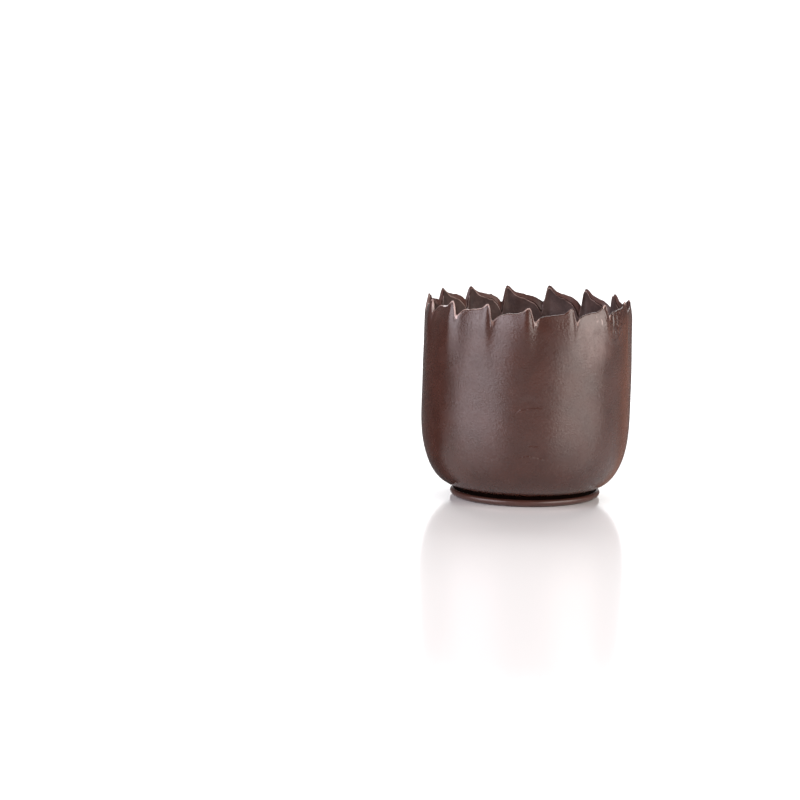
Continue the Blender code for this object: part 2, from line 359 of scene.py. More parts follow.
# %% The wall's rows
OUTER_ROWS, INNER_ROWS = 52, 40
CORNER_ROWS, INNER_CORNER_ROWS = 26, 14
ROW_EASING = 1.6
BEAD_INSET, BEAD_SHARE, BEAD_HEIGHT = 0.24 * MM, 0.42, 0.38 * MM
STEEPEST_BEAD = 2.4
RISER_FOOT, BULGE, BULGE_WIDTH, BULGE_REACH = 0.985, 0.06 * MM, 0.045, 0.32 * MM
FROM_RISER_FOOT = np.abs((PHASE_OF - RISER_FOOT + 0.5) % 1.0 - 0.5)
steepness = np.abs(np.gradient(RIM_DROP, np.unwrap(ANGLE_OF) * CUP_RADIUS))
BEAD_DROP = BEAD_HEIGHT * np.minimum(STEEPEST_BEAD, np.hypot(1.0, steepness))


def wall_row(share, inside):
    """Radius and height of every column at a share of the way from the shoulder to the rim."""
    drop = INNER_RIM_DROP if inside else RIM_DROP + BEAD_DROP
    plain = SHOULDER_HEIGHT + share * (TIP_HEIGHT - SHOULDER_HEIGHT)
    z = plain - share * drop
    radius = wall_radius(z) - fold(PHASE_OF, TIP_HEIGHT - z, inside)
    if inside:
        return radius - wall_thickness(z), z
    below = (1 - share) * (TIP_HEIGHT - SHOULDER_HEIGHT)
    bulge = BULGE * np.exp(-((FROM_RISER_FOOT / BULGE_WIDTH) ** 2) - (below / BULGE_REACH) ** 2)
    return radius + bulge, z


def eased(count):
    """Shares from 0 to 1 that come closer together towards 1."""
    return 1 - (1 - np.linspace(0.0, 1.0, count)) ** ROW_EASING


outer_wall = [wall_row(share, False) for share in eased(OUTER_ROWS)]
inner_wall = [wall_row(share, True) for share in eased(INNER_ROWS)]
print("rows up the wall:", OUTER_ROWS, "outside and", INNER_ROWS, "inside")

# %% [markdown]
# The lip slopes down from the rim's outer edge to the inside. Seen close, the outer edge is rounded like
# a bead, because the set chocolate was still a little soft there, and catches the light. Behind it the
# broken face is hollow and rough, deepest beside its inner edge, which stands up in a fine line.

# %% The lip's rows
BEAD_TURNS = [16, 32, 47, 61, 76]
LIP_SHARES = [0.12, 0.30, 0.50, 0.68, 0.80, 0.90, 1.0]
LIP_HOLLOW, LIP_HOLLOW_LEAN = 0.10 * MM, 1.8
LIP_ROUGH, LIP_BUMPS = 0.020 * MM, 0.22 * MM


def bead_rows():
    """Rows round the rim's outer edge, from the wall to the top."""
    wall_edge, rim_z = outer_wall[-1]
    bead = np.minimum(BEAD_INSET, BEAD_SHARE * (wall_edge - inner_wall[-1][0])) * (1 + DROP_SWELL * droplet)
    turns = [math.radians(turn) for turn in BEAD_TURNS]
    return [(wall_edge - bead * (1 - math.cos(a)), rim_z + BEAD_DROP * math.sin(a)) for a in turns]


def lip_rows():
    """Rows from the bead across the lip to the inner edge, hollow in the middle and rough."""
    bead = bead_rows()
    outer_radius, outer_z = bead[-1]
    inner_radius, inner_z = inner_wall[-1]
    rows = []
    for share in LIP_SHARES:
        radius = outer_radius + (inner_radius - outer_radius) * share
        z = outer_z + (inner_z - outer_z) * share - LIP_HOLLOW * math.sin(math.pi * share**LIP_HOLLOW_LEAN)
        points = np.stack([radius * np.cos(ANGLE_OF), radius * np.sin(ANGLE_OF), z], -1)
        rough = LIP_ROUGH * math.sin(math.pi * (0.1 + 0.8 * share))
        rows.append((radius, z + rough * waves(points, LIP_BUMPS, 6)))
    return bead + rows[:-1]


lip = lip_rows()
print("lip rows:", len(lip))

# %% [markdown]
# All three pieces of the cup are stacks of rings, so one function makes their meshes. A Screw modifier
# would need every ring to be a plain circle, where here each point has a radius and a height of its own.
# The function also gives each face its finish, so that no mask has to be painted.

# %% Meshes from rings
def grid_points(rows):
    """Points of a grid whose rows give radius and height for every column."""
    radius = np.array([np.broadcast_to(row[0], ANGLE_OF.shape) for row in rows])
    z = np.array([np.broadcast_to(row[1], ANGLE_OF.shape) for row in rows])
    return np.stack([radius * np.cos(ANGLE_OF), radius * np.sin(ANGLE_OF), z], -1)


def ring_mesh(name, points, bottom, top, finishes):
    """A skin round the axis from a grid of points, closed on the middle point of each end that has one."""
    rows, columns = points.shape[:2]
    corners = points.reshape(-1, 3)
    first = np.arange(rows - 1)[:, None] * columns + np.arange(columns)
    nxt = np.arange(rows - 1)[:, None] * columns + (np.arange(columns) + 1) % columns
    faces = np.stack([first, nxt, nxt + columns, first + columns], -1).reshape(-1, 4).tolist()
    by_face = np.broadcast_to(np.reshape(finishes, (rows, -1)), (rows, columns))
    owners = by_face[: rows - 1].reshape(-1).tolist()
    ring = np.arange(columns)
    for middle, start, turned in ((bottom, 0, True), (top, (rows - 1) * columns, False)):
        if middle is None:
            continue
        corners = np.vstack([corners, middle])
        tip = len(corners) - 1
        for a, b in zip(start + ring, start + (ring + 1) % columns):
            faces.append([int(b), int(a), tip] if turned else [int(a), int(b), tip])
        owners += [int(by_face[0, 0] if turned else by_face[-1, 0])] * columns
    mesh = bpy.data.meshes.new(name)
    mesh.from_pydata(corners.tolist(), [], faces)
    mesh.polygons.foreach_set("material_index", owners)
    mesh.shade_smooth()
    mesh.update()
    piece = bpy.data.objects.new(name, mesh)
    bpy.context.scene.collection.objects.link(piece)
    return piece


print("points in a ring of the wall:", len(ANGLE_OF))

# %% [markdown]
# The wall's rings are stacked from the middle of the bottom, up the outside, over the lip and down to the
# middle of the floor. Row by row they are outside, the soft edge with a pale painted highlight, dull lip,
# the lip's hollow in nearly black painted shade, its fine inner edge with the same painted highlight, and
# inside.

# %% The wall's rings and their finishes
OUTSIDE, EDGE_HIGHLIGHT, LIP, INSIDE, DROPLET_GLINT, HOLLOW_SHADE = 0, 1, 2, 3, 4, 5
BEAD_DULL_ROWS, SHADED_HOLLOW_ROWS, INNER_EDGE_ROWS = 2, 3, 2
MIDDLE_RING = 2 * MM
BOTTOM_RING, INSIDE_RING = 5 * MM, 6 * MM
bottom_rows = [(r, SHELL_BOTTOM) for r in (MIDDLE_RING, BOTTOM_RING)]
corner_rows = [corner(turn) for turn in np.linspace(1.0, 0.0, CORNER_ROWS, endpoint=False)]
inner_turns = floor_turn() * np.linspace(0.0, 1.0, INNER_CORNER_ROWS)[1:]
inner_corner_rows = [inner_corner(turn) for turn in inner_turns]
inner_floor_rows = [(r, FLOOR_HEIGHT) for r in (INSIDE_RING, MIDDLE_RING)]
outside_rows = bottom_rows + corner_rows + outer_wall
inside_rows = inner_wall[::-1] + inner_corner_rows + inner_floor_rows
all_rows = outside_rows + lip + inside_rows
# The soft edge and the fine inner edge get a pale painted highlight, and the lip's hollow gets nearly black
# painted shade.
finish_of_row = np.array(
    [OUTSIDE] * (len(outside_rows) + BEAD_DULL_ROWS)
    + [EDGE_HIGHLIGHT] * (len(BEAD_TURNS) - BEAD_DULL_ROWS - 1)
    + [LIP] * (len(lip) - len(BEAD_TURNS) + 1 - SHADED_HOLLOW_ROWS)
    + [HOLLOW_SHADE] * SHADED_HOLLOW_ROWS
    + [EDGE_HIGHLIGHT] * INNER_EDGE_ROWS
    + [INSIDE] * (len(inside_rows) - INNER_EDGE_ROWS)
)
finish_grid = np.repeat(finish_of_row[:, None], len(ANGLE_OF), axis=1)
wall_points = grid_points(all_rows)
print("wall rows:", len(all_rows), "triangles:", 2 * (len(all_rows) - 1) * len(ANGLE_OF))

# %% [markdown]
# The soft edge is painted pale as a highlight along the front, most at the tips and risers and least on
# the right. At the back only the lower part of each riser has it. The little bulges get the painted
# highlight as well, and the droplet at the left is painted almost white as a glint. Each of these is a
# choice of rows and columns.

# %% Places given a painted highlight or glint
HIGHLIT_FROM, HIGHLIT_TO, HIGHLIT_LIP_ROWS, HIGHLIT_FRONT = 0.74, 0.05, 1, 0.1
UNHIGHLIT_RIGHT = 0.08
BACK_HIGHLIT_FROM, BACK_HIGHLIT_TO = 0.90, 0.985
BULGE_HIGHLIT = 0.5
GLINT_FROM, GLINT_RAGGED = 0.4, 0.4
at_front = np.sin(ANGLE_OF) < HIGHLIT_FRONT
# Painted highlight: these edge faces at the front, most at the tips and risers, take the pale edge colour.
highlit = at_front & ((PHASE_OF > HIGHLIT_FROM) | (PHASE_OF < HIGHLIT_TO))
highlit_rows = slice(len(outside_rows) + 1, len(outside_rows) + len(BEAD_TURNS) + HIGHLIT_LIP_ROWS)
finish_grid[highlit_rows, highlit] = EDGE_HIGHLIGHT
unhighlit = at_front & (np.cos(ANGLE_OF) > UNHIGHLIT_RIGHT) & ~highlit
finish_grid[highlit_rows, unhighlit] = OUTSIDE
lip_end = len(outside_rows) + len(lip)
back_highlit = ~at_front & (PHASE_OF > BACK_HIGHLIT_FROM) & (PHASE_OF < BACK_HIGHLIT_TO)
finish_grid[lip_end - 1 : lip_end + INNER_EDGE_ROWS, back_highlit] = EDGE_HIGHLIGHT
finish_grid[len(outside_rows) : len(outside_rows) + len(BEAD_TURNS), ~at_front] = LIP
below_edge = (TIP_HEIGHT - SHOULDER_HEIGHT) * (1 - np.append(eased(OUTER_ROWS), 1.0))
bulging = np.hypot(FROM_RISER_FOOT / BULGE_WIDTH, below_edge[:, None] / BULGE_REACH) < BULGE_HIGHLIT
finish_grid[len(outside_rows) - OUTER_ROWS : len(outside_rows) + 1][bulging & at_front] = EDGE_HIGHLIGHT
# The droplet's faces get a nearly white painted glint.
glinting = droplet * (1 + GLINT_RAGGED * waves(edge_points, 0.3 * MM, 7)) > GLINT_FROM
finish_grid[highlit_rows, glinting] = DROPLET_GLINT
print("faces with a worn edge:", int((finish_grid == EDGE_HIGHLIGHT).sum()))

# %% [markdown]
# The wall gets its slow waviness here: a few hundredths of a millimetre, which cannot be seen as shape but
# bends the reflections of the lights the way real dipped chocolate does.

# %% Waviness
WAVINESS = 0.020 * MM
outward = wall_points * np.array([1.0, 1.0, 0.0])
outward /= np.maximum(np.linalg.norm(outward, axis=-1, keepdims=True), 1e-9)
soft = waves(wall_points, 7 * MM, 11) + 0.5 * waves(wall_points, 3 * MM, 12)
wall_points = wall_points + outward * (WAVINESS * soft)[..., None]
wall = ring_mesh("cup_wall", wall_points, (0, 0, SHELL_BOTTOM), (0, 0, FLOOR_HEIGHT), finish_grid)
print("wall points:", len(wall.data.vertices))

# %% [markdown]
# ## The floor inside
#
# The former's flat end leaves a flat floor with a thin raised line round it, where chocolate crept into
# the joint of the metal. A few bubbles have left round pits, and a smear of chocolate lies near the edge.
# The floor is a piece of its own, a disc of rings, so that these small things get enough points without a
# finer wall.

# %% Floor
FLOOR_RINGS, FLOOR_COLUMNS, FLOOR_INNERMOST = 90, 360, 0.02
FLOOR_LIFT, FLOOR_WAVES, FLOOR_SKIRT = 0.02 * MM, 0.015 * MM, 0.25 * MM
LINE_INSET, LINE_HEIGHT, LINE_WIDTH = 0.12 * MM, 0.09 * MM, 0.10 * MM
# Each pit: its place and radius, in millimetres.
PITS = [(-2.6, 2.0, 0.30), (3.2, -3.0, 0.32), (-1.2, -6.4, 0.34), (-4.4, -3.4, 0.14)]
PIT_DEPTH = 0.25 * MM
PIT_RIM, PIT_RIM_AT, PIT_RIM_WIDTH = 0.15, 1.3, 0.3
SMEAR_ENDS, SMEAR_WIDTH, SMEAR_HEIGHT = ((3.0, -3.2), (-1.2, -6.2)), 0.55 * MM, 0.12 * MM
SMEAR_RAGGED, SMEAR_EDGE = 0.12 * MM, 0.08 * MM


def distance_to_line(x, y, start, end):
    """Distance from points to a straight stretch."""
    along = np.array(end) - np.array(start)
    share = np.clip(((x - start[0]) * along[0] + (y - start[1]) * along[1]) / (along @ along), 0.0, 1.0)
    return np.hypot(x - start[0] - share * along[0], y - start[1] - share * along[1])


def floor_height(x, y):
    """The floor's height: slow unevenness, the raised line, the pits and the smear."""
    points = np.stack([x, y, 0 * x], -1)
    radius = np.hypot(x, y)
    z = FLOOR_HEIGHT + FLOOR_LIFT + FLOOR_WAVES * waves(points, 4 * MM, 21)
    z = z + LINE_HEIGHT * np.exp(-(((radius - FLOOR_RADIUS + LINE_INSET) / LINE_WIDTH) ** 2))
    for pit_x, pit_y, pit_radius in PITS:
        away = np.hypot(x - pit_x * MM, y - pit_y * MM) / (pit_radius * MM)
        z = z - PIT_DEPTH * np.exp(-(away**4))
        z = z + PIT_RIM * PIT_DEPTH * np.exp(-(((away - PIT_RIM_AT) / PIT_RIM_WIDTH) ** 2))
    ends = [tuple(v * MM for v in end) for end in SMEAR_ENDS]
    away = distance_to_line(x, y, *ends) + SMEAR_RAGGED * waves(points, 0.9 * MM, 22)
    return z + SMEAR_HEIGHT / (1 + np.exp((away - SMEAR_WIDTH) / SMEAR_EDGE))


def floor_piece():
    """The floor as a disc whose last ring dips into the wall."""
    angles = np.linspace(0, 2 * math.pi, FLOOR_COLUMNS, endpoint=False)
    radii = FLOOR_RADIUS * np.linspace(FLOOR_INNERMOST, 1.0, FLOOR_RINGS)
    x, y = radii[:, None] * np.cos(angles), radii[:, None] * np.sin(angles)
    top = np.stack([x, y, floor_height(x, y)], -1)
    skirt = top[-1:] + np.array([0, 0, -FLOOR_SKIRT])
    rows = np.concatenate([skirt, top[::-1]])
    middle = (0, 0, float(floor_height(np.zeros(1), np.zeros(1))[0]))
    return ring_mesh("cup_floor", rows, None, middle, np.zeros(len(rows), int))


floor = floor_piece()
print("floor points:", len(floor.data.vertices))

# %% [markdown]
# ## The foot
#
# The puddle that the shell was set into is a flat disc with a soft rounded edge, undercut a little where
# it shrank from the tray. It is slightly oval and lies a little off the shell's axis. The shell's bottom
# meets it well inside its edge, which leaves the dark groove that the photograph shows. A cylinder with a
# bevel would be too regular.

# %% Foot
FOOT_RADIUS = 9.70 * MM
FOOT_OFFSET = 0.2 * MM
FOOT_OVAL, FOOT_LONG_WAY = 0.026, math.radians(45)
FOOT_THICKNESS = 0.93 * MM
FOOT_WIDEST = 0.60 * MM
FOOT_TOP_RADIUS = 9.28 * MM
FOOT_UNDERSIDE_RADIUS = 8.90 * MM
FOOT_DIP_RADIUS, FOOT_DIP_HEIGHT = 8.86 * MM, 0.87 * MM
FOOT_EDGE_STEPS = 9
FOOT_WOBBLE = 0.04 * MM
NECK_RADIUS = 7.2 * MM
NECK_TOP = 1.5 * MM
NECK_BOTTOM = 0.50 * MM
FOOT_SHADED_ROWS = 3


def foot_section():
    """Radius and height from the middle of the underside, round the soft edge and in to the neck."""
    under, top = FOOT_UNDERSIDE_RADIUS, FOOT_TOP_RADIUS
    below, above = FOOT_RADIUS - under, FOOT_RADIUS - top
    rise = FOOT_THICKNESS - FOOT_WIDEST
    turns = np.linspace(0.0, math.pi / 2, FOOT_EDGE_STEPS)
    rows = [(MIDDLE_RING, 0.0)]
    rows += [(under + below * math.sin(a), FOOT_WIDEST * (1 - math.cos(a))) for a in turns[:-1]]
    rows += [(top + above * math.cos(a), FOOT_WIDEST + rise * math.sin(a)) for a in turns]
    rows += [(FOOT_DIP_RADIUS, FOOT_DIP_HEIGHT), (NECK_RADIUS, NECK_BOTTOM)]
    return rows + [(NECK_RADIUS, NECK_TOP), (MIDDLE_RING, NECK_TOP)]


foot_rows = foot_section()
# The last rows, in the groove above the foot, get painted shade: a nearly black, dull finish.
foot_finishes = np.zeros(len(foot_rows), int)
foot_finishes[len(foot_rows) - 2 - FOOT_SHADED_ROWS:] = 1
foot_points = grid_points(foot_rows)
stretch = 1 + FOOT_OVAL * np.cos(2 * (ANGLE_OF - FOOT_LONG_WAY))
stretch = stretch + FOOT_WOBBLE / CUP_RADIUS * waves(foot_points * [1, 1, 0], 6 * MM, 31)
foot_points[..., :2] *= stretch[..., None]
foot_points[..., 0] += FOOT_OFFSET
foot = ring_mesh("cup_foot", foot_points, (0, 0, 0), (0, 0, NECK_TOP), foot_finishes)
print("foot points:", len(foot.data.vertices))

# %% [markdown]
# ## The finishes
#
# Dark chocolate is a very dark, warm brown. Most of what looks grey or mauve on it is white light
# reflected by its waxy surface. So the base colour is a deep saturated brown, and the pale tones come
# from a broad gloss, from fine bump and from patches where the surface is a little duller or shinier.

# %% Node helpers
PATCH_STOPS = 0.38, 0.62


def node(tree, kind, **values):
    """A shader node with its named input values set."""
    made = tree.nodes.new(kind)
    for key, value in values.items():
        made.inputs[key.replace("_", " ")].default_value = value
    return made


def noise_of(tree, scale, detail=3.0, roughness=0.55, squeeze=(1, 1, 1)):
    """A noise on object coordinates, in bumps per metre. A squeeze under 1 stretches them that way."""
    coordinates = tree.nodes.new("ShaderNodeTexCoord")
    squeezed = tree.nodes.new("ShaderNodeVectorMath")
    squeezed.operation = "MULTIPLY"
    squeezed.inputs[1].default_value = squeeze
    tree.links.new(coordinates.outputs["Object"], squeezed.inputs[0])
    texture = node(tree, "ShaderNodeTexNoise", Scale=scale, Detail=detail, Roughness=roughness)
    tree.links.new(squeezed.outputs["Vector"], texture.inputs["Vector"])
    return texture.outputs["Fac"]


def patches_of(tree, source, first, second):
    """One colour where a noise is low and another where it is high, with a soft change between."""
    ramp = tree.nodes.new("ShaderNodeValToRGB")
    for stop, place, colour in zip(ramp.color_ramp.elements, PATCH_STOPS, (first, second)):
        stop.position, stop.color = place, (*colour, 1)
    tree.links.new(source, ramp.inputs["Fac"])
    return ramp.outputs["Color"]


def bump_of(tree, source, distance, below=None):
    """A bump from a height, on top of another one where given."""
    bump = node(tree, "ShaderNodeBump", Strength=1.0, Distance=distance)
    tree.links.new(source, bump.inputs["Height"])
    if below is not None:
        tree.links.new(below, bump.inputs["Normal"])
    return bump.outputs["Normal"]


def distance_from(tree, place):
    """How far each point of the surface is from a place."""
    coordinates = tree.nodes.new("ShaderNodeTexCoord")
    distance = tree.nodes.new("ShaderNodeVectorMath")
    distance.operation = "DISTANCE"
    distance.inputs[1].default_value = place
    tree.links.new(coordinates.outputs["Object"], distance.inputs[0])
    return distance.outputs["Value"]


def math_of(tree, operation, first, second):
    """A sum, product or other operation on two values, each a socket or a number."""
    made = tree.nodes.new("ShaderNodeMath")
    made.operation = operation
    for place, value in enumerate((first, second)):
        if isinstance(value, (int, float)):
            made.inputs[place].default_value = value
        else:
            tree.links.new(value, made.inputs[place])
    return made.outputs[0]


def near(tree, value, full, none):
    """1 where a value is at full or nearer, 0 where it is at none or farther, and smooth between."""
    made = node(tree, "ShaderNodeMapRange", From_Min=none, From_Max=full, To_Min=0.0, To_Max=1.0)
    made.interpolation_type = "SMOOTHSTEP"
    tree.links.new(value, made.inputs["Value"])
    return made.outputs["Result"]


print("helpers ready; soft change of a patch:", PATCH_STOPS)

# %% [markdown]
# One recipe serves for every finish: patches of two close browns, patches of two roughnesses and a fine
# grain in the bump. A photograph of chocolate would bring its own light with it, where noise has none and
# fits any shape.

# %% A chocolate finish
DULL_PATCHES = 0.45 / MM


def chocolate(name, dark, light, rough, grain, grain_depth, patches=0.35 / MM, ior=1.5, squeeze=(1, 1, 1)):
    """A finish with two browns, two roughnesses, and a grain of so many bumps per metre and so deep."""
    material = bpy.data.materials.new(name)
    material.use_nodes = True
    tree = material.node_tree
    shader = tree.nodes["Principled BSDF"]
    tree.links.new(patches_of(tree, noise_of(tree, patches), dark, light), shader.inputs["Base Color"])
    greys = [(value,) * 3 for value in rough]
    dullness = patches_of(tree, noise_of(tree, DULL_PATCHES, detail=5.0, roughness=0.6), *greys)
    tree.links.new(dullness, shader.inputs["Roughness"])
    fine = bump_of(tree, noise_of(tree, grain, detail=4.0, squeeze=squeeze), grain_depth)
    tree.links.new(fine, shader.inputs["Normal"])
    shader.inputs["IOR"].default_value = ior
    return material


print("dull patches per mm:", DULL_PATCHES * MM)

# %% [markdown]
# The outside was handled. Near the rim on the right it has been warmed by a fingertip and has set again
# in glossy lumps, with a thin paler patch beside it and a few pale spots painted in as glints, and the
# front has a few faint curved scrapes, each a low step. They could be painted as an image. A mask that is
# simply how far a point is from a chosen place needs none, and stays where it is on the cup.

# %% Handling marks and painted glints
SMUDGE_PLACE, SMUDGE_REACH = (11.3 * MM, -7.4 * MM, 24.0 * MM), (1.6 * MM, 3.4 * MM)
SMUDGE_LUMPS, SMUDGE_SQUEEZE, SMUDGE_DEPTH, SMUDGE_ROUGHNESS = 1.7 / MM, (1, 1, 0.6), 0.27 * MM, 0.14
PALE_PATCH_AND_GLINT_COLOUR, PALE_SPOT_SQUEEZE = (0.42, 0.31, 0.29, 1), (1, 1, 0.45)
# Each pale patch or set of painted glints: its place, how far it is full and where it ends, spots per
# metre, their contrast, its share.
PALE_PATCH_AND_GLINTS = [
    # A thin paler patch.
    ((8.7 * MM, -10.3 * MM, 21.8 * MM), (0.8 * MM, 4.4 * MM), 0.9 / MM, (1.0, 0.0), 0.25),
    # Painted glints: pale spots standing in for small highlights.
    ((9.0 * MM, -9.7 * MM, 24.2 * MM), (0.2 * MM, 1.2 * MM), 2.6 / MM, (0.68, 0.50), 0.70),
]
# Each scrape: the middle and radius of its circle, then the middle and reach of the stretch that shows.
SCRAPES = [
    ((0.6 * MM, -13.0 * MM, 2.0 * MM), 5.2 * MM, (0.9 * MM, -13.2 * MM, 7.0 * MM), 2.1 * MM),
    ((0.8 * MM, -13.3 * MM, 5.2 * MM), 3.4 * MM, (1.1 * MM, -13.4 * MM, 8.4 * MM), 0.9 * MM),
    ((1.2 * MM, -13.4 * MM, 8.4 * MM), 5.0 * MM, (0.4 * MM, -13.5 * MM, 13.3 * MM), 1.9 * MM),
]
SCRAPE_WIDTH, SCRAPE_DEPTH = 0.24 * MM, 0.075 * MM
SCRAPE_WANDER, SCRAPE_BENDS = 0.9 * MM, 0.5 / MM


def add_handling_and_glints(material):
    """Adds the smudge, the scrapes, the thin paler patch and the painted glints to the outside's finish."""
    tree = material.node_tree
    shader = tree.nodes["Principled BSDF"]
    normal = shader.inputs["Normal"].links[0].from_socket
    smudged = near(tree, distance_from(tree, SMUDGE_PLACE), *SMUDGE_REACH)
    lumps = noise_of(tree, SMUDGE_LUMPS, detail=2.0, roughness=0.5, squeeze=SMUDGE_SQUEEZE)
    lumps = math_of(tree, "MULTIPLY", lumps, smudged)
    normal = bump_of(tree, lumps, SMUDGE_DEPTH, normal)
    wander = math_of(tree, "MULTIPLY", noise_of(tree, SCRAPE_BENDS), SCRAPE_WANDER)
    for centre, radius, middle, reach in SCRAPES:
        from_centre = math_of(tree, "ADD", distance_from(tree, centre), wander)
        off_line = math_of(tree, "SUBTRACT", from_centre, radius + SCRAPE_WANDER / 2)
        above_line = near(tree, off_line, SCRAPE_WIDTH / 2, -SCRAPE_WIDTH / 2)
        stretch = near(tree, distance_from(tree, middle), 0.5 * reach, reach)
        step = math_of(tree, "MULTIPLY", math_of(tree, "MULTIPLY", above_line, stretch), -1.0)
        normal = bump_of(tree, step, SCRAPE_DEPTH, normal)
    tree.links.new(normal, shader.inputs["Normal"])
    rough = shader.inputs["Roughness"].links[0].from_socket
    drop = math_of(tree, "MULTIPLY", math_of(tree, "SUBTRACT", rough, SMUDGE_ROUGHNESS), smudged)
    tree.links.new(math_of(tree, "SUBTRACT", rough, drop), shader.inputs["Roughness"])
    for place, reach, spots, contrast, share in PALE_PATCH_AND_GLINTS:
        pale_mix = tree.nodes.new("ShaderNodeMix")
        pale_mix.data_type = "RGBA"
        cover = near(tree, distance_from(tree, place), *reach)
        broken = noise_of(tree, spots, detail=4.0, roughness=0.65, squeeze=PALE_SPOT_SQUEEZE)
        cover = math_of(tree, "MULTIPLY", cover, near(tree, broken, *contrast))
        tree.links.new(math_of(tree, "MULTIPLY", cover, share), pale_mix.inputs["Factor"])
        tree.links.new(shader.inputs["Base Color"].links[0].from_socket, pale_mix.inputs["A"])
        pale_mix.inputs["B"].default_value = PALE_PATCH_AND_GLINT_COLOUR
        tree.links.new(pale_mix.outputs["Result"], shader.inputs["Base Color"])


print("pale_patches_and_glints:", len(PALE_PATCH_AND_GLINTS), "scrapes:", len(SCRAPES))

# %% [markdown]
# The outside is waxy and finely grained, the inside is duller, with a coarser grain, and the floor is
# smooth. The broken lip is dull, and its soft edge is given a pale, glossy painted highlight. The lip's
# hollow and the groove above the foot get so little light on the real cup that they are given painted
# shade: very dark and almost without gloss.

# %% Materials
outside_finish = chocolate(
    "outside_chocolate", dark=(0.035, 0.0109, 0.0070), light=(0.043, 0.0136, 0.0088), rough=(0.22, 0.31),
    grain=3.9 / MM, grain_depth=0.036 * MM, squeeze=(1, 1, 1.15),
)
add_handling_and_glints(outside_finish)
# Painted highlight: a pale, glossy colour on the soft edge and its bulges, standing in for the light they
# catch.
edge_highlight_finish = chocolate(
    "painted_edge_highlight", dark=(0.085, 0.044, 0.036), light=(0.34, 0.24, 0.215), rough=(0.14, 0.22),
    grain=6 / MM, grain_depth=0.008 * MM, patches=0.30 / MM,
)
lip_finish = chocolate(
    "broken_edge", dark=(0.044, 0.0165, 0.0130), light=(0.066, 0.026, 0.020), rough=(0.36, 0.52),
    grain=4 / MM, grain_depth=0.040 * MM, ior=1.38,
)
inside_finish = chocolate(
    "inside_chocolate", dark=(0.038, 0.020, 0.0175), light=(0.064, 0.036, 0.0315), rough=(0.50, 0.70),
    grain=2.4 / MM, grain_depth=0.065 * MM, patches=0.6 / MM, ior=1.42,
)
foot_finish = chocolate(
    "foot_chocolate", dark=(0.046, 0.0165, 0.0115), light=(0.056, 0.0205, 0.0145), rough=(0.33, 0.42),
    grain=3.0 / MM, grain_depth=0.025 * MM,
)
floor_finish = chocolate(
    "floor_chocolate", dark=(0.034, 0.0220, 0.0190), light=(0.050, 0.033, 0.0285), rough=(0.42, 0.54),
    grain=5 / MM, grain_depth=0.006 * MM,
)
# Painted glint: a nearly white, glossy colour for the droplet on the edge.
droplet_glint_finish = chocolate(
    "painted_droplet_glint", dark=(0.30, 0.24, 0.22), light=(0.80, 0.74, 0.71), rough=(0.14, 0.22),
    grain=6 / MM, grain_depth=0.008 * MM, patches=1.2 / MM,
)
# Painted shade: a nearly black, dull colour for the groove above the foot.
groove_shade_finish = chocolate(
    "groove_painted_shade", dark=(0.010, 0.0045, 0.0035), light=(0.014, 0.006, 0.0045), rough=(0.90, 1.0),
    grain=3 / MM, grain_depth=0.020 * MM, ior=1.12,
)
# Painted shade: a nearly black, dull colour for the lip's hollow beside its inner edge.
hollow_shade_finish = chocolate(
    "hollow_painted_shade", dark=(0.016, 0.007, 0.0055), light=(0.024, 0.0105, 0.0085), rough=(0.80, 0.95),
    grain=4 / MM, grain_depth=0.030 * MM, ior=1.2,
)
for finish in (outside_finish, edge_highlight_finish, lip_finish, inside_finish, droplet_glint_finish, hollow_shade_finish):
    wall.data.materials.append(finish)
floor.data.materials.append(floor_finish)
for finish in (foot_finish, groove_shade_finish):
    foot.data.materials.append(finish)
print("finishes:", [m.name for m in bpy.data.materials if m.users])

# %% [markdown]
# ## The studio
#
# The cup stands on glossy white board. Two broad soft boxes stand in front of it to the left and the
# right, and make the two upright gleams. One leans down from high behind, and a weak one hangs overhead.
# A plain lit panel far behind is mirrored in the board at the camera's low angle, which whitens it and
# lets the cup's own mirror image show. A light is described by how bright its face looks, because that is
# what a gleam shows, and its power follows from its size.

# %% Floor board
BOARD_HALF = 4.0
BOARD_WHITE, BOARD_ROUGHNESS, BOARD_IOR = (0.85, 0.85, 0.85, 1), 0.13, 1.7


def board():
    """The glossy white board that the cup stands on."""
    mesh = bpy.data.meshes.new("board")
    corners = [(x * BOARD_HALF, y * BOARD_HALF, 0) for x, y in ((-1, -1), (1, -1), (1, 1), (-1, 1))]
    mesh.from_pydata(corners, [], [(0, 1, 2, 3)])
    plane = bpy.data.objects.new("board", mesh)
    bpy.context.scene.collection.objects.link(plane)
    material = bpy.data.materials.new("white_board")
    material.use_nodes = True
    shader = material.node_tree.nodes["Principled BSDF"]
    shader.inputs["Base Color"].default_value = BOARD_WHITE
    shader.inputs["Roughness"].default_value = BOARD_ROUGHNESS
    shader.inputs["IOR"].default_value = BOARD_IOR
    mesh.materials.append(material)


board()
print("board laid, metres across:", 2 * BOARD_HALF)

# %% Lights and sky
SKY_STRENGTH = 0.28


def soft_box(name, bearing_deg, distance, middle, tilt_deg, size, brightness, colour=(1, 1, 1)):
    """A soft light facing the cup, on a bearing from the camera's side, turning towards the right."""
    bearing = math.radians(bearing_deg)
    data = bpy.data.lights.new(name, "AREA")
    data.shape = "RECTANGLE"
    data.size, data.size_y = size
    data.energy = brightness * math.pi * size[0] * size[1]
    data.color = colour
    light = bpy.data.objects.new(name, data)
    light.location = (distance * math.sin(bearing), -distance * math.cos(bearing), middle)
    light.rotation_euler = (math.radians(90 - tilt_deg), 0, bearing)
    bpy.context.scene.collection.objects.link(light)


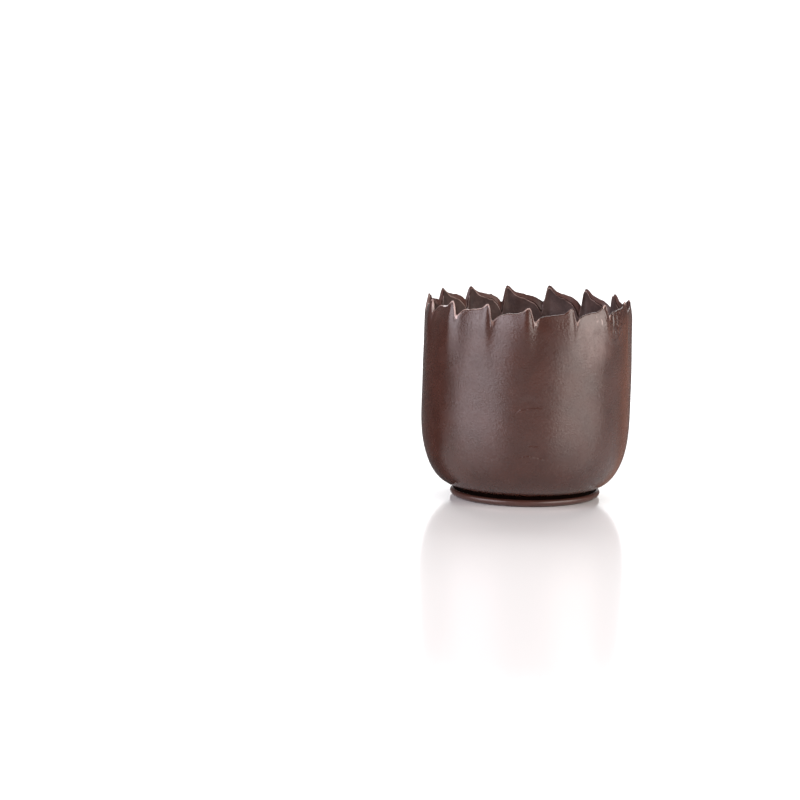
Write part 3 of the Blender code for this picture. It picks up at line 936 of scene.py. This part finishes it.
world = bpy.data.worlds.new("studio")
world.use_nodes = True
world.node_tree.nodes["Background"].inputs["Color"].default_value = (1, 1, 1, 1)
world.node_tree.nodes["Background"].inputs["Strength"].default_value = SKY_STRENGTH
bpy.context.scene.world = world
bpy.context.scene.view_settings.view_transform = "Standard"
soft_box(
    "left_box", bearing_deg=-53.7, distance=0.90, middle=0.42, tilt_deg=0, size=(0.866, 0.80),
    brightness=6.05, colour=(1.0, 0.93, 1.0),
)
soft_box(
    "right_box", bearing_deg=60, distance=0.90, middle=0.42, tilt_deg=0, size=(0.878, 0.80),
    brightness=6.4, colour=(1.0, 0.92, 0.87),
)
soft_box(
    "back_panel", bearing_deg=180, distance=2.5, middle=0.37, tilt_deg=0, size=(0.90, 0.75),
    brightness=1.25,
)
soft_box(
    "high_back_box", bearing_deg=180, distance=0.80, middle=0.80, tilt_deg=45, size=(1.1, 0.7),
    brightness=4.9,
)
soft_box("top_box", bearing_deg=0, distance=0.0, middle=0.95, tilt_deg=90, size=(1.1, 1.1), brightness=0.32)

# %% [markdown]
# The cup is dark along its left edge and warm brown along its right edge, as if dark and brown things
# stood close behind it. Three cards do that here: a black one on the left, a brown one on the right, and
# a narrow black one over it for the very edge. Real cards would be stood up and shade the board. These
# lie on it and are seen only by reflections that come down onto them from the cup, so they neither shade
# the board nor show on it.

# %% Cards
CARD_LIFT = 0.0001
BLACK, BROWN = (0.01, 0.01, 0.01), (0.42, 0.21, 0.15)


def card(name, outline, height, colour):
    """A card just above the board, of one colour from above and clear from below."""
    mesh = bpy.data.meshes.new(name)
    mesh.from_pydata([(x, y, height) for x, y in outline], [], [tuple(range(len(outline)))])
    piece = bpy.data.objects.new(name, mesh)
    bpy.context.scene.collection.objects.link(piece)
    material = bpy.data.materials.new(name)
    material.use_nodes = True
    tree = material.node_tree
    shader = tree.nodes["Principled BSDF"]
    shader.inputs["Base Color"].default_value = (*colour, 1)
    geometry = tree.nodes.new("ShaderNodeNewGeometry")
    solid = tree.nodes.new("ShaderNodeMath")
    solid.operation = "SUBTRACT"
    solid.inputs[0].default_value = 1.0
    tree.links.new(geometry.outputs["Backfacing"], solid.inputs[1])
    tree.links.new(solid.outputs[0], shader.inputs["Alpha"])
    mesh.materials.append(material)
    piece.visible_camera = piece.visible_diffuse = piece.visible_shadow = piece.visible_transmission = False


LEFT_CARD = [(-0.60, -0.002), (-0.022, -0.002), (-0.0100, -0.006), (-0.0100, 0.85), (-0.60, 0.85)]
RIGHT_CARD = [(0.0103, -0.004), (0.018, 0.004), (0.50, 0.29), (0.90, 0.85), (0.0103, 0.85)]
EDGE_CARD = [(0.0105, 0.001), (0.43, 0.85), (0.0105, 0.85)]
card("black_card", LEFT_CARD, CARD_LIFT, BLACK)
card("brown_card", RIGHT_CARD, CARD_LIFT, BROWN)
card("edge_card", EDGE_CARD, 2 * CARD_LIFT, BLACK)
print("cards laid, mm above the board:", CARD_LIFT / MM)

# %% [markdown]
# ## Joining the pieces to the frame
#
# The real shell and its foot have set into one piece, and the CAD model has one solid for them. So all
# three pieces ride on the same body and replace the same node. Joining them into one mesh would gain
# nothing, and would lose the floor's finer rings.

# %% Join the pieces to the frame
for piece in (wall, floor, foot):
    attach(piece, "root")
    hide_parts("cup_shell")
